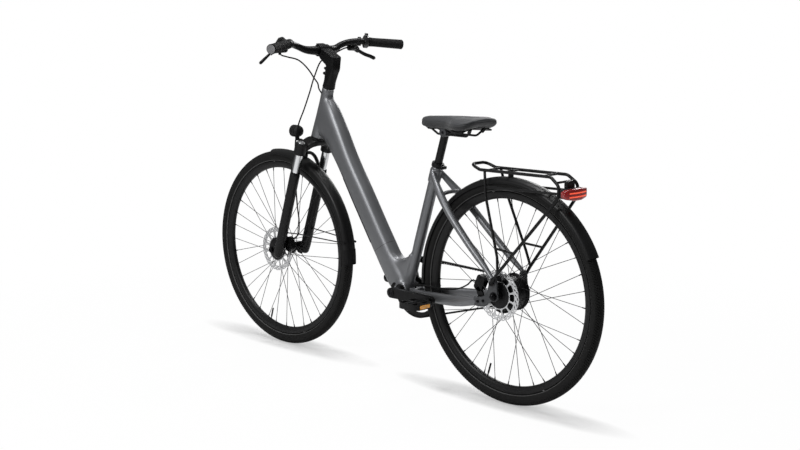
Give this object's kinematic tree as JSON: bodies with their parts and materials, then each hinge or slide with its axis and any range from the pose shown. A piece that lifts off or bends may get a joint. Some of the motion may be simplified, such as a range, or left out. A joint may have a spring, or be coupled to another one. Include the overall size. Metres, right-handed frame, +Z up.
{
  "type": "electric city bike",
  "caption": "Step-through electric city bicycle with rear hub motor, toothed belt drive, suspension fork, disc brakes, mudguards and a tubular rear rack.",
  "frame": {"origin": "on the floor, half way between the wheel axles, in the middle plane", "axes": "+X forward, +Y to the rider's left, +Z up"},
  "size_m": [1.782, 0.6232, 1.1362],
  "materials": {
    "frame_paint": "satin metallic grey",
    "black_paint": "satin",
    "black_alloy": "black anodised",
    "steel": "brushed",
    "tyre_rubber": "matte",
    "rubber": "matte",
    "plastic": "matte",
    "saddle_cover": "matte synthetic cover over foam",
    "red_lens": "clear red",
    "clear_lens": "clear"
  },
  "bodies": {
    "frame": {"main_frame": "frame_paint", "seat_stays": "frame_paint", "chain_stays": "frame_paint", "dropout_left": "black_alloy", "dropout_right": "black_alloy", "battery_pack": "plastic", "headset_bearing_lower": "steel", "headset_bearing_upper": "steel", "bottom_bracket": "black_alloy", "seat_clamp": "black_paint", "rear_mudguard": "black_paint", "rear_rack": "black_paint", "tail_light_lens": "red_lens", "rear_brake_caliper": "black_paint", "rear_brake_hose": "rubber", "motor_axle_and_stator": "steel", "drive_belt": "rubber"},
    "charge_port_cover": {"charge_port_flap": "rubber"},
    "steering": {"fork_crown": "black_paint", "stem": "black_alloy", "handlebar": "black_alloy", "grip_left": "rubber", "grip_right": "rubber", "brake_master_left": "black_paint", "brake_master_right": "black_paint", "bell": "black_paint", "remote_housing": "plastic", "steering_hose": "rubber", "front_brake_hose": "rubber"},
    "left_brake_lever": {"brake_lever_left": "black_alloy"},
    "right_brake_lever": {"brake_lever_right": "black_alloy"},
    "striker": {"bell_striker": "black_alloy"},
    "up_button": {"remote_button_up": "rubber"},
    "down_button": {"remote_button_down": "rubber"},
    "headlight": {"headlight_housing": "black_paint", "headlight_lens": "clear_lens"},
    "lockout": {"lockout_knob": "plastic"},
    "fork_slider": {"fork_lowers": "black_paint", "front_brake_caliper": "black_paint", "front_mudguard": "black_paint", "front_axle": "steel"},
    "front_wheel": {"front_tyre": "tyre_rubber", "front_rim": "black_paint", "front_hub_and_spokes": "black_alloy", "front_brake_rotor": "steel"},
    "rear_wheel": {"rear_tyre": "tyre_rubber", "rear_rim": "black_paint", "rear_hub_and_spokes": "black_alloy", "motor_side_cover": "black_alloy", "rear_brake_rotor": "steel"},
    "crankset": {"crank_left": "black_alloy", "crank_right": "black_alloy", "front_sprocket": "black_alloy"},
    "belt_sprocket": {"rear_sprocket": "steel"},
    "left_pedal": {"pedal_left": "plastic"},
    "right_pedal": {"pedal_right": "plastic"},
    "post": {"seat_post": "black_paint"},
    "saddle": {"saddle_pad": "saddle_cover", "saddle_base": "plastic", "saddle_clamp": "black_alloy"}
  },
  "joints": [
    {"name": "steering_turn", "type": "hinge", "parent": "frame", "child": "steering", "pos_m": [0.34527, 0, 0.77487], "axis": [-0.309, 0, 0.9511], "range_deg": [-60, 60], "deforming": ["steering_hose"]},
    {"name": "fork_travel", "type": "slide", "parent": "steering", "child": "fork_slider", "axis": [-0.309, 0, 0.9511], "range_m": [0, 0.035], "stiffness_N_per_m": 9000, "springref_m": -0.02, "deforming": ["front_brake_hose"]},
    {"name": "front_wheel_spin", "type": "hinge", "parent": "fork_slider", "child": "front_wheel", "pos_m": [0.535, 0, 0.356], "axis": [0, 1, 0], "continuous": true},
    {"name": "rear_wheel_spin", "type": "hinge", "parent": "frame", "child": "rear_wheel", "pos_m": [-0.535, 0, 0.356], "axis": [0, 1, 0], "continuous": true},
    {"name": "crank_spin", "type": "hinge", "parent": "frame", "child": "crankset", "pos_m": [-0.09811, 0, 0.3], "axis": [0, 1, 0], "continuous": true, "deforming": ["drive_belt"]},
    {"name": "belt_sprocket_spin", "type": "hinge", "parent": "frame", "child": "belt_sprocket", "pos_m": [-0.535, 0, 0.356], "axis": [0, 1, 0], "continuous": true},
    {"name": "left_pedal_spin", "type": "hinge", "parent": "crankset", "child": "left_pedal", "pos_m": [-0.27311, 0.149, 0.3], "axis": [0, 1, 0], "continuous": true},
    {"name": "right_pedal_spin", "type": "hinge", "parent": "crankset", "child": "right_pedal", "pos_m": [0.07689, -0.149, 0.3], "axis": [0, 1, 0], "continuous": true},
    {"name": "seat_height", "type": "slide", "parent": "frame", "child": "post", "axis": [-0.294, 0, 0.9558], "range_m": [-0.06, 0.12]},
    {"name": "saddle_tilt", "type": "hinge", "parent": "post", "child": "saddle", "pos_m": [-0.27597, 0, 0.83903], "axis": [0, 1, 0], "range_deg": [-12, 12]},
    {"name": "left_brake_pull", "type": "hinge", "parent": "steering", "child": "left_brake_lever", "pos_m": [0.345, 0.208, 1.077], "axis": [0.4711, 0.5088, 0.7205], "range_deg": [0, 25], "stiffness_Nm_per_rad": 0.6, "springref_deg": -14.32},
    {"name": "right_brake_pull", "type": "hinge", "parent": "steering", "child": "right_brake_lever", "pos_m": [0.345, -0.194, 1.075], "axis": [-0.4838, 0.5088, -0.712], "range_deg": [0, 25], "stiffness_Nm_per_rad": 0.6, "springref_deg": -14.32},
    {"name": "striker_lift", "type": "hinge", "parent": "steering", "child": "striker", "pos_m": [0.28965, -0.18343, 1.13222], "axis": [0.4575, 0.8855, 0.0815], "range_deg": [0, 20], "stiffness_Nm_per_rad": 0.02, "springref_deg": -17.19},
    {"name": "up_button_press", "type": "slide", "parent": "steering", "child": "up_button", "axis": [0.5484, 0.1965, -0.8128], "range_m": [0, 0.0015], "stiffness_N_per_m": 800, "springref_m": -0.0006},
    {"name": "down_button_press", "type": "slide", "parent": "steering", "child": "down_button", "axis": [0.5484, 0.1965, -0.8128], "range_m": [0, 0.0015], "stiffness_N_per_m": 800, "springref_m": -0.0006},
    {"name": "headlight_tilt", "type": "hinge", "parent": "steering", "child": "headlight", "pos_m": [0.455, 0, 0.76], "axis": [0, 1, 0], "range_deg": [-12, 12]},
    {"name": "lockout_turn", "type": "hinge", "parent": "steering", "child": "lockout", "pos_m": [0.36078, -0.0635, 0.75951], "axis": [-0.309, 0, 0.9511], "range_deg": [0, 90]},
    {"name": "port_cover_swing", "type": "hinge", "parent": "frame", "child": "charge_port_cover", "pos_m": [-0.07006, 0.03456, 0.32168], "axis": [0.695, 0, 0.719], "range_deg": [0, 90]}
  ],
  "couplings": [
    {"joint": "belt_sprocket_spin", "follows": "crank_spin", "ratio": 2.7273}
  ]
}
